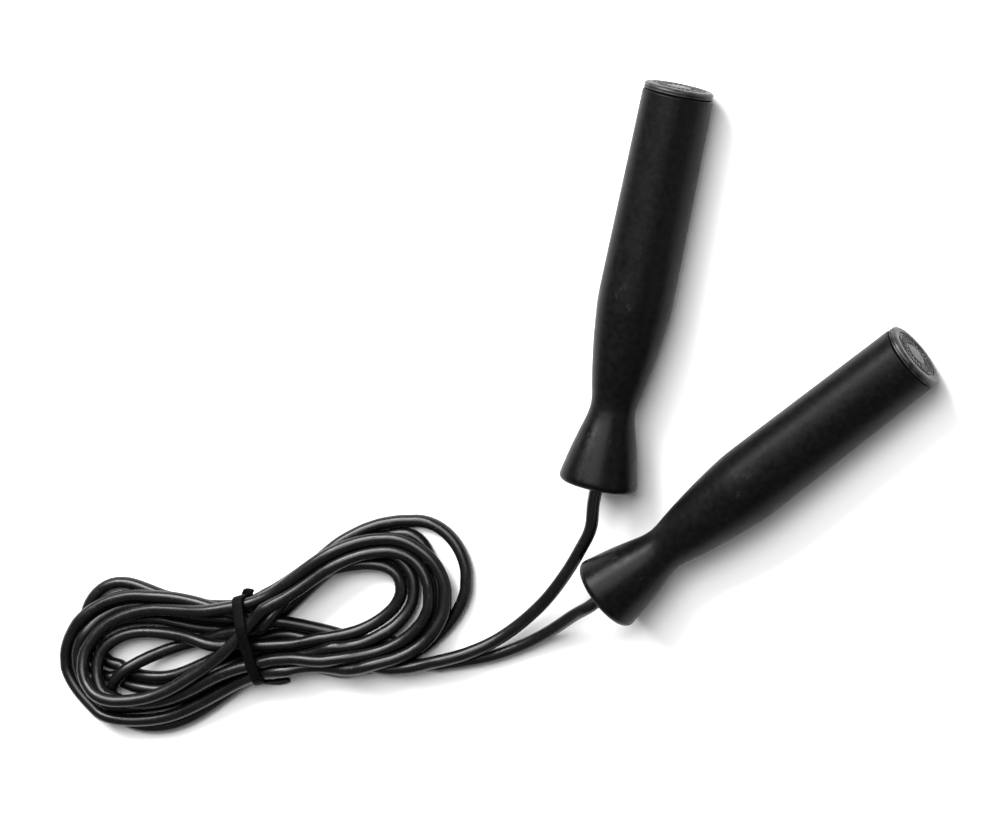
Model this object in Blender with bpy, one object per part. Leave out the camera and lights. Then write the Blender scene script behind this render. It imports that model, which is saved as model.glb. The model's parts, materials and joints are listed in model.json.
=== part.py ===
"""Jump rope with two ball-bearing handles, its cord wound into a tied hank.

Units are metres, +Z is up, and everything lies on the plane z = 0.  The origin is
on that plane, under the middle of the box around the two handles.  Each handle is
turned about its own long axis, which is the axis that it spins on.  Stations
along a handle are measured from its butt face towards the mouth of the skirt.
"""

import bpy
import bmesh
from math import asin, cos, pi, radians, sin
from mathutils import Matrix, Vector

# ---- handle: outside ----
HANDLE_LENGTH = 0.157
BUTT_RADIUS = 0.01365
WIDEST_RADIUS = 0.0144
WIDEST_AT = 0.084
WAIST_RADIUS = 0.0088
WAIST_AT = 0.1255
SKIRT_RADIUS = 0.01515
SKIRT_AT = 0.1543
BUTT_ROUND = 0.0008
WAIST_ROUND = 0.0003
WAIST_ROUND_REACH = 0.0030
LIP_ROUND = 0.0022
# (radius, station) between the widest place and the waist, then from there to the skirt
GRIP_SHOULDER = [(0.0141, 0.0895), (0.0135, 0.0950), (0.0119, 0.1070), (0.0100, 0.1183)]
GRIP_FLARE = [(0.0109, 0.1360), (0.0125, 0.1420), (0.0139, 0.1485)]
CLEARANCE = 0.0003

# ---- end cap ----
CAP_THICKNESS = 0.0026
CAP_RADIUS = 0.01345
CAP_FACE_RADIUS = 0.0094
CAP_RIM_INNER = 0.0104
CAP_GROOVE_DEPTH = 0.0005
CAP_GROOVE_SLOPE = 0.0002
CAP_EDGE_ROUND = 0.0011
CAP_BACK_CHAMFER = 0.0003
SPIGOT_RADIUS = 0.0083
SPIGOT_WALL = 0.0015
SPIGOT_DEPTH = 0.0140
SPIGOT_CHAMFER = (0.0004, 0.0010)

# ---- core tube inside the rubber ----
CORE_RADIUS = 0.0104
CORE_BORE = 0.0086
WAIST_CORE_RADIUS = 0.0066
WAIST_BORE = 0.0050
CUP_RADIUS = 0.0111
CUP_BORE = 0.0098
CUP_AT = 0.1455
CUP_END = 0.1530
SHOULDER_AT = 0.0950
WAIST_CORE_SPAN = (0.1245, 0.1270)
WAIST_BORE_SPAN = (0.1235, 0.1285)
CORE_SHOULDER = [(0.0090, 0.1070), (0.0073, 0.1183)]
CORE_FLARE = [(0.0086, 0.1360), (0.0102, 0.1420)]
SEAT_STEP = [(0.0078, 0.1437), (0.0074, 0.1390)]
LIP_STEP = 0.0004
LIP_CHAMFER = (0.0008, 0.0010)

# ---- ball bearing, 8 x 19 x 6 mm ----
BEARING_AT = 0.1440
BEARING_WIDTH = 0.0060
BEARING_BORE = 0.0040
BEARING_RADIUS = 0.0095
INNER_SHOULDER = 0.0053
OUTER_SHOULDER = 0.0082
BALL_RADIUS = 0.0016
BALL_COUNT = 8
PITCH_RADIUS = 0.5 * (BEARING_BORE + BEARING_RADIUS)
CAGE_INNER = 0.0061
CAGE_OUTER = 0.0074
CAGE_RING = 0.0008
CAGE_FINGER = 0.0028
CAGE_START = 0.1444

# ---- swivel fittings on the cord's end ----
CORD_RADIUS = 0.0025
CORD_HOLE = 0.0028
CORD_START = 0.1302
FERRULE_RADIUS = 0.0040
FERRULE_SPAN = (0.1315, 0.1408)
FERRULE_CHAMFER = 0.0006
WASHER_RADIUS = 0.0060
WASHER_SPAN = (0.1411, 0.1421)
SLEEVE_RADIUS = 0.0037
SLEEVE_FLANGE = 0.0050
SLEEVE_SPAN = (0.1424, 0.1550)
SLEEVE_FLANGE_END = 0.1437
RETAINER_SPAN = (0.1503, 0.1527)
RETAINER_HOLE = 0.0050

# ---- where the two handles lie: butt centre, and heading from mouth to butt ----
HANDLES = {
    "a": {"butt": (-0.0255, 0.1019), "heading": radians(77.2)},
    "b": {"butt": (0.0668, 0.0011), "heading": radians(37.1)},
}
BUTT_CONTACT_AT = 0.0044
LIE_ANGLE = asin((SKIRT_RADIUS - BUTT_RADIUS) / (SKIRT_AT - BUTT_CONTACT_AT))

# ---- free cord from each mouth to the hank, points chosen by hand, in metres ----
LEAD_ROUTES = {
    "a": [
        (-0.0634, -0.0676, 0.0142),
        (-0.0682, -0.0760, 0.0126),
        (-0.0752, -0.0862, 0.0108),
        (-0.0845, -0.0968, 0.0080),
        (-0.0957, -0.1064, 0.0056),
        (-0.1065, -0.1136, 0.0054),
        (-0.1167, -0.1182, 0.0071),
        (-0.1244, -0.1206, 0.0079),
        (-0.1315, -0.1223, 0.0083),
    ],
    "b": [
        (-0.0715, -0.1017, 0.0112),
        (-0.0830, -0.1087, 0.0060),
        (-0.0945, -0.1146, 0.0033),
        (-0.1071, -0.1193, 0.0027),
        (-0.1190, -0.1220, 0.0027),
        (-0.1265, -0.1233, 0.0027),
        (-0.1321, -0.1241, 0.0027),
    ],
}
STRAIGHT_PAST_MOUTH = 0.0070
CORD_STEP = 0.0110

# ---- the tied hank: its outline in plan, clockwise ----
HANK_HEIGHT = 0.0165
HANK_EDGE = 0.0030
HANK_OUTLINE = [
    (-0.2155, -0.1007),
    (-0.2048, -0.0984),
    (-0.1907, -0.0906),
    (-0.1788, -0.0802),
    (-0.1669, -0.0713),
    (-0.1552, -0.0671),
    (-0.1435, -0.0643),
    (-0.1319, -0.0650),
    (-0.1225, -0.0710),
    (-0.1168, -0.0790),
    (-0.1153, -0.0883),
    (-0.1175, -0.0978),
    (-0.1235, -0.1073),
    (-0.1290, -0.1140),
    (-0.1333, -0.1190),
    (-0.1335, -0.1270),
    (-0.1515, -0.1277),
    (-0.1750, -0.1272),
    (-0.1971, -0.1297),
    (-0.2088, -0.1322),
    (-0.2170, -0.1397),
    (-0.2290, -0.1464),
    (-0.2410, -0.1516),
    (-0.2530, -0.1535),
    (-0.2650, -0.1523),
    (-0.2769, -0.1447),
    (-0.2850, -0.1355),
    (-0.2895, -0.1250),
    (-0.2862, -0.1164),
    (-0.2808, -0.1066),
    (-0.2752, -0.0969),
    (-0.2660, -0.0922),
    (-0.2569, -0.0920),
    (-0.2450, -0.0957),
    (-0.2331, -0.0989),
]
OUTLINE_STEPS = 2

# ---- the strap round the hank's waist ----
TIE_CENTRE = (-0.2063, -0.1152)
TIE_HEADING = radians(-78.0)
TIE_WIDTH = 0.0048
TIE_THICKNESS = 0.0013
TIE_OPENING = (0.0334, 0.0152)
TIE_FLOOR_GAP = 0.0003
TIE_CORNER = 0.0016
TIE_CORNER_STEPS = 3
TIE_TAIL = 0.0080
TIE_NUB = 0.0025

# ---- facets ----
GRIP_SEGMENTS = 32
CORE_SEGMENTS = 24
SMALL_SEGMENTS = 16
SHARP_ANGLE = radians(32.0)


def clear_scene():
    for obj in list(bpy.data.objects):
        bpy.data.objects.remove(obj, do_unlink=True)


def make_material(name, colour, roughness, metallic=0.0):
    material = bpy.data.materials.new(name)
    material.use_nodes = True
    shader = material.node_tree.nodes["Principled BSDF"]
    shader.inputs["Base Color"].default_value = (*colour, 1.0)
    shader.inputs["Roughness"].default_value = roughness
    shader.inputs["Metallic"].default_value = metallic
    material.diffuse_color = (*colour, 1.0)
    return material


def add_object(name, mesh_tool, material, parent=None):
    """Turn a bmesh into a named object with smooth shading and sharp corners."""
    bmesh.ops.recalc_face_normals(mesh_tool, faces=mesh_tool.faces)
    mesh = bpy.data.meshes.new(name)
    mesh_tool.to_mesh(mesh)
    mesh_tool.free()
    mesh.shade_smooth()
    mesh.set_sharp_from_angle(angle=SHARP_ANGLE)
    mesh.materials.append(material)
    obj = bpy.data.objects.new(name, mesh)
    bpy.context.collection.objects.link(obj)
    obj.parent = parent
    return obj


def turned(name, profile, segments, material, parent):
    """Spin a closed (radius, station) outline about the handle's axis."""
    tool = bmesh.new()
    corners = [tool.verts.new((radius, 0.0, station)) for radius, station in profile]
    edges = [tool.edges.new((a, b)) for a, b in zip(corners, corners[1:] + corners[:1])]
    bmesh.ops.spin(
        tool, geom=corners + edges, cent=(0, 0, 0), axis=(0, 0, 1),
        dvec=(0, 0, 0), angle=2.0 * pi, steps=segments,
    )
    bmesh.ops.remove_doubles(tool, verts=tool.verts, dist=1e-6)
    on_axis = [e for e in tool.edges if not e.link_faces]
    bmesh.ops.delete(tool, geom=on_axis, context="EDGES")
    return add_object(name, tool, material, parent)


def ring_profile(inner, outer, start, end):
    return [(inner, start), (outer, start), (outer, end), (inner, end)]


def arc(centre, radius, from_angle, to_angle, steps):
    """Points of an arc in the (radius, station) plane."""
    points = []
    for i in range(steps + 1):
        angle = from_angle + (to_angle - from_angle) * i / steps
        points.append((centre[0] + radius * cos(angle), centre[1] + radius * sin(angle)))
    return points


def grip_outside():
    """Outer outline of the rubber, from its butt edge to the lip of the mouth."""
    start = CAP_THICKNESS + CLEARANCE
    lip_middle = 0.5 * (SKIRT_AT + HANDLE_LENGTH)
    return [
        (BUTT_RADIUS - BUTT_ROUND, start),
        (BUTT_RADIUS - 0.25 * BUTT_ROUND, start + 0.6 * BUTT_ROUND),
        (BUTT_RADIUS, BUTT_CONTACT_AT),
        (WIDEST_RADIUS, WIDEST_AT),
        *GRIP_SHOULDER,
        (WAIST_RADIUS + WAIST_ROUND, WAIST_AT - WAIST_ROUND_REACH),
        (WAIST_RADIUS, WAIST_AT),
        (WAIST_RADIUS + WAIST_ROUND, WAIST_AT + WAIST_ROUND_REACH),
        *GRIP_FLARE,
        (SKIRT_RADIUS, SKIRT_AT),
        (SKIRT_RADIUS - 0.15 * LIP_ROUND, lip_middle),
        (SKIRT_RADIUS - 0.55 * LIP_ROUND, 0.5 * (lip_middle + HANDLE_LENGTH)),
        (SKIRT_RADIUS - LIP_ROUND, HANDLE_LENGTH),
    ]


def core_outside():
    """Outer outline of the core tube, from the butt to the mouth."""
    return [
        (CORE_RADIUS, CAP_THICKNESS + CLEARANCE),
        (CORE_RADIUS, SHOULDER_AT),
        *CORE_SHOULDER,
        (WAIST_CORE_RADIUS, WAIST_CORE_SPAN[0]),
        (WAIST_CORE_RADIUS, WAIST_CORE_SPAN[1]),
        *CORE_FLARE,
        (CUP_RADIUS, CUP_AT),
        (CUP_RADIUS, CUP_END),
    ]


def build_grip(tag, material, parent):
    lip_inner = CUP_BORE + LIP_STEP
    inside = [(radius + CLEARANCE, station) for radius, station in core_outside()]
    inside[-1] = (CUP_RADIUS + CLEARANCE, CUP_END + CLEARANCE)
    mouth = [
        (lip_inner + LIP_CHAMFER[0], HANDLE_LENGTH),
        (lip_inner, HANDLE_LENGTH - LIP_CHAMFER[1]),
        (lip_inner, CUP_END + CLEARANCE),
    ]
    profile = grip_outside() + mouth + inside[::-1]
    return turned("grip_" + tag, profile, GRIP_SEGMENTS, material, parent)


def build_core(tag, material, parent):
    inside = [
        (CUP_BORE, CUP_END),
        (CUP_BORE, SEAT_STEP[0][1]),
        *SEAT_STEP,
        (WAIST_BORE, WAIST_BORE_SPAN[1]),
        (WAIST_BORE, WAIST_BORE_SPAN[0]),
        (CORE_BORE, SHOULDER_AT),
        (CORE_BORE, CAP_THICKNESS + CLEARANCE),
    ]
    profile = core_outside() + inside
    return turned("core_" + tag, profile, CORE_SEGMENTS, material, parent)


def build_end_cap(tag, material, parent):
    edge = CAP_EDGE_ROUND
    rim = arc((CAP_RADIUS - edge, edge), edge, -0.5 * pi, 0.0, 3)
    spigot_end = CAP_THICKNESS + SPIGOT_DEPTH
    profile = [
        (0.0, 0.0),
        (CAP_FACE_RADIUS, 0.0),
        (CAP_FACE_RADIUS + CAP_GROOVE_SLOPE, CAP_GROOVE_DEPTH),
        (CAP_RIM_INNER - CAP_GROOVE_SLOPE, CAP_GROOVE_DEPTH),
        (CAP_RIM_INNER, 0.0),
        *rim,
        (CAP_RADIUS, CAP_THICKNESS - CAP_BACK_CHAMFER),
        (CAP_RADIUS - CAP_BACK_CHAMFER, CAP_THICKNESS),
        (SPIGOT_RADIUS, CAP_THICKNESS),
        (SPIGOT_RADIUS, spigot_end - SPIGOT_CHAMFER[1]),
        (SPIGOT_RADIUS - SPIGOT_CHAMFER[0], spigot_end),
        (SPIGOT_RADIUS - SPIGOT_WALL, spigot_end),
        (SPIGOT_RADIUS - SPIGOT_WALL, CAP_THICKNESS),
        (0.0, CAP_THICKNESS),
    ]
    return turned("end_cap_" + tag, profile, GRIP_SEGMENTS, material, parent)


def build_bearing(tag, steel, cage_material, parent):
    """Outer ring, inner ring, cage and balls of one deep-groove bearing."""
    start = BEARING_AT
    end = BEARING_AT + BEARING_WIDTH
    middle = 0.5 * (start + end)
    race_radius = BALL_RADIUS + CLEARANCE
    outer_reach = OUTER_SHOULDER - PITCH_RADIUS
    inner_reach = PITCH_RADIUS - INNER_SHOULDER
    outer_half = (race_radius ** 2 - outer_reach ** 2) ** 0.5
    inner_half = (race_radius ** 2 - inner_reach ** 2) ** 0.5
    outer_race = [
        (OUTER_SHOULDER, middle + outer_half),
        (PITCH_RADIUS + race_radius, middle),
        (OUTER_SHOULDER, middle - outer_half),
    ]
    inner_race = [
        (INNER_SHOULDER, middle - inner_half),
        (PITCH_RADIUS - race_radius, middle),
        (INNER_SHOULDER, middle + inner_half),
    ]
    outer = [(OUTER_SHOULDER, start), (BEARING_RADIUS, start), (BEARING_RADIUS, end),
             (OUTER_SHOULDER, end)] + outer_race
    inner = [(INNER_SHOULDER, end), (BEARING_BORE, end), (BEARING_BORE, start),
             (INNER_SHOULDER, start)] + inner_race
    turned("bearing_outer_ring_" + tag, outer, CORE_SEGMENTS, steel, parent)
    turned("bearing_inner_ring_" + tag, inner, CORE_SEGMENTS, steel, parent)
    build_cage(tag, cage_material, parent)
    for number in range(BALL_COUNT):
        angle = 2.0 * pi * number / BALL_COUNT
        tool = bmesh.new()
        bmesh.ops.create_icosphere(tool, subdivisions=2, radius=BALL_RADIUS)
        ball = add_object("ball_%s%d" % (tag, number + 1), tool, steel, parent)
        ball.location = (PITCH_RADIUS * cos(angle), PITCH_RADIUS * sin(angle), middle)


def build_cage(tag, material, parent):
    """A ring behind the balls with one finger in each gap between two balls."""
    per_ball = 4
    segments = per_ball * BALL_COUNT
    tool = bmesh.new()
    loops = []
    for radius, station in ring_profile(CAGE_INNER, CAGE_OUTER, CAGE_START,
                                        CAGE_START + CAGE_RING):
        loop = []
        for i in range(segments):
            angle = 2.0 * pi * (i + 0.5) / segments + pi / BALL_COUNT
            loop.append(tool.verts.new((radius * cos(angle), radius * sin(angle), station)))
        loops.append(loop)
    finger_roots = []
    for k in range(4):
        first, second = loops[k], loops[(k + 1) % 4]
        for i in range(segments):
            j = (i + 1) % segments
            face = tool.faces.new((first[i], first[j], second[j], second[i]))
            if k == 2 and i % per_ball == per_ball - 1:
                finger_roots.append(face)
    bmesh.ops.recalc_face_normals(tool, faces=tool.faces)
    for root in finger_roots:
        grown = bmesh.ops.extrude_discrete_faces(tool, faces=[root])["faces"]
        bmesh.ops.translate(tool, verts=grown[0].verts, vec=(0, 0, CAGE_FINGER))
    return add_object("bearing_cage_" + tag, tool, material, parent)


def build_swivel(tag, steel, brass, parent):
    """Sleeve through the bearing, and the washer and crimp that stop the cord."""
    sleeve = [
        (CORD_HOLE, SLEEVE_SPAN[0]),
        (SLEEVE_FLANGE, SLEEVE_SPAN[0]),
        (SLEEVE_FLANGE, SLEEVE_FLANGE_END),
        (SLEEVE_RADIUS, SLEEVE_FLANGE_END),
        (SLEEVE_RADIUS, SLEEVE_SPAN[1]),
        (CORD_HOLE, SLEEVE_SPAN[1]),
    ]
    turned("swivel_sleeve_" + tag, sleeve, SMALL_SEGMENTS, steel, parent)
    washer = ring_profile(CORD_HOLE, WASHER_RADIUS, *WASHER_SPAN)
    turned("stop_washer_" + tag, washer, SMALL_SEGMENTS, steel, parent)
    ferrule = [
        (CORD_HOLE, FERRULE_SPAN[0]),
        (FERRULE_RADIUS - FERRULE_CHAMFER, FERRULE_SPAN[0]),
        (FERRULE_RADIUS, FERRULE_SPAN[0] + FERRULE_CHAMFER),
        (FERRULE_RADIUS, FERRULE_SPAN[1] - FERRULE_CHAMFER),
        (FERRULE_RADIUS - FERRULE_CHAMFER, FERRULE_SPAN[1]),
        (CORD_HOLE, FERRULE_SPAN[1]),
    ]
    turned("ferrule_" + tag, ferrule, SMALL_SEGMENTS, brass, parent)


def handle_frame(tag):
    """World matrix of a handle: origin at the butt face, +Z towards the mouth."""
    place = HANDLES[tag]
    heading = place["heading"]
    axis = Vector((-cos(heading) * cos(LIE_ANGLE), -sin(heading) * cos(LIE_ANGLE),
                   sin(LIE_ANGLE)))
    across = Vector((sin(heading), -cos(heading), 0.0))
    upright = axis.cross(across)
    height = BUTT_RADIUS * cos(LIE_ANGLE) - BUTT_CONTACT_AT * sin(LIE_ANGLE)
    frame = Matrix((across, upright, axis)).transposed().to_4x4()
    frame.translation = Vector((*place["butt"], height))
    return frame


def build_handle(tag, looks):
    axis = bpy.data.objects.new("handle_axis_" + tag, None)
    bpy.context.collection.objects.link(axis)
    frame = handle_frame(tag)
    axis.location = frame.translation
    axis.rotation_mode = "QUATERNION"
    axis.rotation_quaternion = frame.to_quaternion()
    build_grip(tag, looks["rubber"], axis)
    build_core(tag, looks["plastic"], axis)
    build_end_cap(tag, looks["cap"], axis)
    build_bearing(tag, looks["steel"], looks["nylon"], axis)
    build_swivel(tag, looks["steel"], looks["brass"], axis)
    retainer = ring_profile(RETAINER_HOLE, BEARING_RADIUS, *RETAINER_SPAN)
    turned("bearing_retainer_" + tag, retainer, CORE_SEGMENTS, looks["plastic"], axis)


def smooth_path(points, closed=False, steps=24):
    """Catmull-Rom curve through the points, as many short steps."""
    count = len(points)
    path = []
    for i in range(count if closed else count - 1):
        if closed:
            p0, p1, p2, p3 = (points[(i + k) % count] for k in (-1, 0, 1, 2))
        else:
            p1, p2 = points[i], points[i + 1]
            p0 = points[i - 1] if i > 0 else p1 * 2.0 - p2
            p3 = points[i + 2] if i + 2 < count else p2 * 2.0 - p1
        for k in range(steps):
            t = k / steps
            path.append(0.5 * (
                2.0 * p1 + (p2 - p0) * t + (2.0 * p0 - 5.0 * p1 + 4.0 * p2 - p3) * t * t
                + (3.0 * p1 - p0 - 3.0 * p2 + p3) * t ** 3))
    if not closed:
        path.append(points[-1].copy())
    return path


def evenly_spaced(path, spacing):
    """Points along the path, one about every spacing, both ends kept."""
    reach = [0.0]
    for a, b in zip(path, path[1:]):
        reach.append(reach[-1] + (b - a).length)
    count = max(2, round(reach[-1] / spacing))
    result = []
    k = 0
    for i in range(count + 1):
        target = reach[-1] * i / count
        while k < len(path) - 2 and reach[k + 1] < target:
            k += 1
        part = (target - reach[k]) / (reach[k + 1] - reach[k])
        result.append(path[k].lerp(path[k + 1], part))
    return result


def build_lead(tag, material):
    """The free cord: out of the handle along its axis, down, and to the hank."""
    frame = handle_frame(tag)
    stations = (CORD_START, 0.1400, 0.1490, HANDLE_LENGTH, HANDLE_LENGTH + STRAIGHT_PAST_MOUTH)
    route = [frame @ Vector((0.0, 0.0, station)) for station in stations]
    route += [Vector(point) for point in LEAD_ROUTES[tag]]
    points = evenly_spaced(smooth_path(route), CORD_STEP)
    curve = bpy.data.curves.new("rope_lead_" + tag, "CURVE")
    curve.dimensions = "3D"
    curve.bevel_depth = CORD_RADIUS
    curve.bevel_resolution = 2
    curve.use_fill_caps = True
    spline = curve.splines.new("POLY")
    spline.points.add(len(points) - 1)
    for point, place in zip(spline.points, points):
        point.co = (*place, 1.0)
    curve.materials.append(material)
    lead = bpy.data.objects.new("rope_lead_" + tag, curve)
    bpy.context.collection.objects.link(lead)


def tie_frame():
    """World matrix of the strap: +X along the hank, +Y across it, +Z up."""
    frame = Matrix.Rotation(TIE_HEADING + 0.5 * pi, 4, "Z")
    frame.translation = Vector((*TIE_CENTRE, 0.0))
    return frame


def build_hank(material):
    """One closed solid with the hank's outer shape, relieved below for the strap."""
    outline = smooth_path([Vector((x, y, 0.0)) for x, y in HANK_OUTLINE], True, OUTLINE_STEPS)
    tool = bmesh.new()
    base = tool.faces.new([tool.verts.new(point) for point in outline])
    grown = bmesh.ops.extrude_face_region(tool, geom=[base])["geom"]
    top = [item for item in grown if isinstance(item, bmesh.types.BMVert)]
    bmesh.ops.translate(tool, verts=top, vec=(0, 0, HANK_HEIGHT))
    rim = [e for e in tool.edges if abs(e.verts[0].co.z - e.verts[1].co.z) < 1e-6]
    bmesh.ops.bevel(tool, geom=rim, offset=HANK_EDGE, offset_type="OFFSET", segments=1,
                    profile=0.5, affect="EDGES")
    hank = add_object("rope_hank", tool, material)

    relief = bmesh.new()
    depth = TIE_FLOOR_GAP + TIE_THICKNESS + CLEARANCE
    bmesh.ops.create_cube(relief, size=1.0)
    slot = (TIE_WIDTH + 2.0 * CLEARANCE, TIE_OPENING[0] * 1.5, 2.0 * depth)
    bmesh.ops.scale(relief, vec=slot, verts=relief.verts)
    cutter = add_object("strap_relief", relief, material)
    cutter.matrix_world = tie_frame()
    cutter.hide_render = True
    cutter.display_type = "WIRE"
    cut = hank.modifiers.new("strap_relief", "BOOLEAN")
    cut.operation = "DIFFERENCE"
    cut.solver = "EXACT"
    cut.object = cutter
    return hank


def rounded_loop(half_width, bottom, top, corner):
    """Rounded rectangle in the strap's Y-Z plane, counter-clockwise from +X."""
    centres = [
        (half_width - corner, top - corner, 0.0),
        (-half_width + corner, top - corner, 0.5 * pi),
        (-half_width + corner, bottom + corner, pi),
        (half_width - corner, bottom + corner, 1.5 * pi),
    ]
    points = []
    for y, z, start in centres:
        for i in range(TIE_CORNER_STEPS + 1):
            angle = start + 0.5 * pi * i / TIE_CORNER_STEPS
            points.append((y + corner * cos(angle), z + corner * sin(angle)))
    return points


def build_tie(material):
    """A flat strap round the hank's waist, with its free tail and a folded nub."""
    bottom = TIE_FLOOR_GAP + TIE_THICKNESS
    top = bottom + TIE_OPENING[1] + CLEARANCE
    half = 0.5 * TIE_OPENING[0]
    inner = rounded_loop(half, bottom, top, TIE_CORNER)
    outer = rounded_loop(half + TIE_THICKNESS, bottom - TIE_THICKNESS, top + TIE_THICKNESS,
                         TIE_CORNER + TIE_THICKNESS)
    tool = bmesh.new()
    sides = []
    for x in (-0.5 * TIE_WIDTH, 0.5 * TIE_WIDTH):
        for loop in (inner, outer):
            sides.append([tool.verts.new((x, y, z)) for y, z in loop])
    back_in, back_out, front_in, front_out = sides
    count = len(inner)
    strips = ((back_in, back_out), (back_out, front_out), (front_out, front_in),
              (front_in, back_in))
    for first, second in strips:
        for i in range(count):
            j = (i + 1) % count
            tool.faces.new((first[i], first[j], second[j], second[i]))
    bmesh.ops.recalc_face_normals(tool, faces=tool.faces)
    tool.normal_update()
    tail = []
    nub = []
    for face in tool.faces:
        middle = face.calc_center_median()
        at_foot = middle.y < -half and middle.z < bottom + TIE_CORNER
        if face.normal.x > 0.9 and at_foot:
            tail.append(face)
        if face.normal.y > 0.9 and middle.y > half:
            nub.append(face)
    for faces, shift in ((tail, (TIE_TAIL, 0, 0)), (nub, (0, TIE_NUB, 0))):
        grown = bmesh.ops.extrude_face_region(tool, geom=faces)["geom"]
        moved = [item for item in grown if isinstance(item, bmesh.types.BMVert)]
        bmesh.ops.translate(tool, verts=moved, vec=shift)
        bmesh.ops.delete(tool, geom=faces, context="FACES_ONLY")
    tie = add_object("tie_strap", tool, material)
    tie.matrix_world = tie_frame()
    return tie


def main():
    clear_scene()
    looks = {
        "rubber": make_material("grip_rubber", (0.012, 0.012, 0.013), 0.62),
        "plastic": make_material("core_plastic", (0.030, 0.030, 0.032), 0.50),
        "cap": make_material("cap_plastic", (0.020, 0.020, 0.021), 0.48),
        "steel": make_material("bearing_steel", (0.62, 0.63, 0.65), 0.22, 1.0),
        "brass": make_material("ferrule_brass", (0.72, 0.55, 0.27), 0.32, 1.0),
        "nylon": make_material("cage_nylon", (0.55, 0.52, 0.45), 0.55),
        "cord": make_material("cord_vinyl", (0.014, 0.014, 0.015), 0.34),
        "strap": make_material("strap_vinyl", (0.010, 0.010, 0.010), 0.55),
    }
    for tag in HANDLES:
        build_handle(tag, looks)
        build_lead(tag, looks["cord"])
    build_hank(looks["cord"])
    build_tie(looks["strap"])


main()
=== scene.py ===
"""Looks of the jump rope: cord, grips, caps, strap, materials, light and camera.

Units are metres, or mm where a comment says so.  The handles' places come from the
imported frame.  The cord's two leads follow a list of points, the same one as the CAD
tubes.  Its hank is planned from half turns and then settled by a small simulation.
"""

import json
from math import cos, pi, radians, sin, sqrt

import bmesh
import bpy
import numpy as np
from mathutils import Matrix, Vector


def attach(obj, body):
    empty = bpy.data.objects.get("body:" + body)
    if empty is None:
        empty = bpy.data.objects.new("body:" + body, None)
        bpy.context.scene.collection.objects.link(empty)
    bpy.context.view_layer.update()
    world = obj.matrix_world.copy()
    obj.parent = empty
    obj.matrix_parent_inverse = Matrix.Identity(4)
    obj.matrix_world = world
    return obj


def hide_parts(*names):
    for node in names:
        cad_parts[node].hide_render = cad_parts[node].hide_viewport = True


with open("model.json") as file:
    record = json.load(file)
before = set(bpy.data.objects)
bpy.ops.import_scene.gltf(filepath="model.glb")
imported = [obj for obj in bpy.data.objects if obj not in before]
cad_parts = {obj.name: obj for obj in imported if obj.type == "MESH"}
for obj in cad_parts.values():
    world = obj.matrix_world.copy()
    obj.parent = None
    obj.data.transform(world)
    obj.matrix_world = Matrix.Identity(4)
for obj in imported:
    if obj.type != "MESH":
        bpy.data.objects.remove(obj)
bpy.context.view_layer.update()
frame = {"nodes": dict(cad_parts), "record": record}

MM = 0.001

# ---- camera ----
CAMERA_ELEVATION = radians(70.0)
CAMERA_HEADING = radians(15.0)
CAMERA_DISTANCE = 2.5
CAMERA_LENS = 232.2
SENSOR_WIDTH = 36.0
CAMERA_REACH = 20.0
CAMERA_TARGET = Vector((-0.1046, -0.0233, -0.0001))

# ---- cord: its leads run from the crimp in each handle to the hank's edge ----
CORD_RADIUS = 0.0025
CORD_ROUNDNESS = 6
CORD_STEP = 0.0025
CORD_START = 0.1302
STRAIGHT_STATIONS = (CORD_START, 0.1400, 0.1490)
STRAIGHT_PAST_MOUTH = 0.0070
HANDLE_LENGTH = 0.157
LEAD_ROUTES = {
    "a": [
        (-0.0634, -0.0676, 0.0142),
        (-0.0682, -0.0760, 0.0126),
        (-0.0752, -0.0862, 0.0108),
        (-0.0845, -0.0968, 0.0080),
        (-0.0957, -0.1064, 0.0056),
        (-0.1065, -0.1136, 0.0054),
        (-0.1167, -0.1182, 0.0071),
        (-0.1244, -0.1206, 0.0079),
        (-0.1315, -0.1223, 0.0083),
    ],
    "b": [
        (-0.0715, -0.1017, 0.0112),
        (-0.0830, -0.1087, 0.0060),
        (-0.0945, -0.1146, 0.0033),
        (-0.1071, -0.1193, 0.0027),
        (-0.1190, -0.1220, 0.0027),
        (-0.1265, -0.1233, 0.0027),
        (-0.1321, -0.1241, 0.0027),
    ],
}
# On from the hank's edge to its strap, in mm from the strap's centre.
LEAD_ENDS = {
    "a": [(64.0, -9.5, 7.9), (52.0, -9.6, 6.0), (38.0, -7.0, 4.4), (24.0, -2.4, 4.2),
          (11.0, -0.6, 4.2)],
    "b": [(66.0, -6.3, 2.6), (56.0, -3.2, 2.6), (46.0, -0.4, 2.6), (34.0, 2.6, 2.8),
          (22.0, 5.2, 3.6), (12.0, 7.2, 5.5)],
}

# ---- the hank, in mm from the strap's centre ----
TIE_CENTRE = Vector((-0.2063, -0.1152, 0.0))
TIE_HEADING = radians(-78.0)
TIE_TURN = TIE_HEADING + 0.5 * pi
TIE_OPENING = (33.4, 15.2)
STRAP_TOP_OF_FLOOR = 1.7
LAYER_HEIGHT = 4.3
# Where the cord passes through the strap, in the order it runs: its place across the
# strap, its layer counted from the floor, and its heading there in degrees.
PASSES = [
    (-2.7, 0.0, 15.0),
    (14.1, 0.0, 14.0),
    (-8.1, 1.0, 14.0),
    (8.1, 0.0, 18.0),
    (-8.1, 0.0, 12.0),
    (2.7, 0.0, 10.0),
    (-13.5, 0.0, 26.0),
    (4.8, 1.0, 13.0),
    (-2.2, 1.1, -2.0),
    (-10.2, 2.0, 8.0),
    (3.4, 2.1, 42.0),
    (13.9, 1.2, 12.0),
    (-13.3, 1.0, 22.0),
    (9.2, 1.0, -8.0),
]
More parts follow.
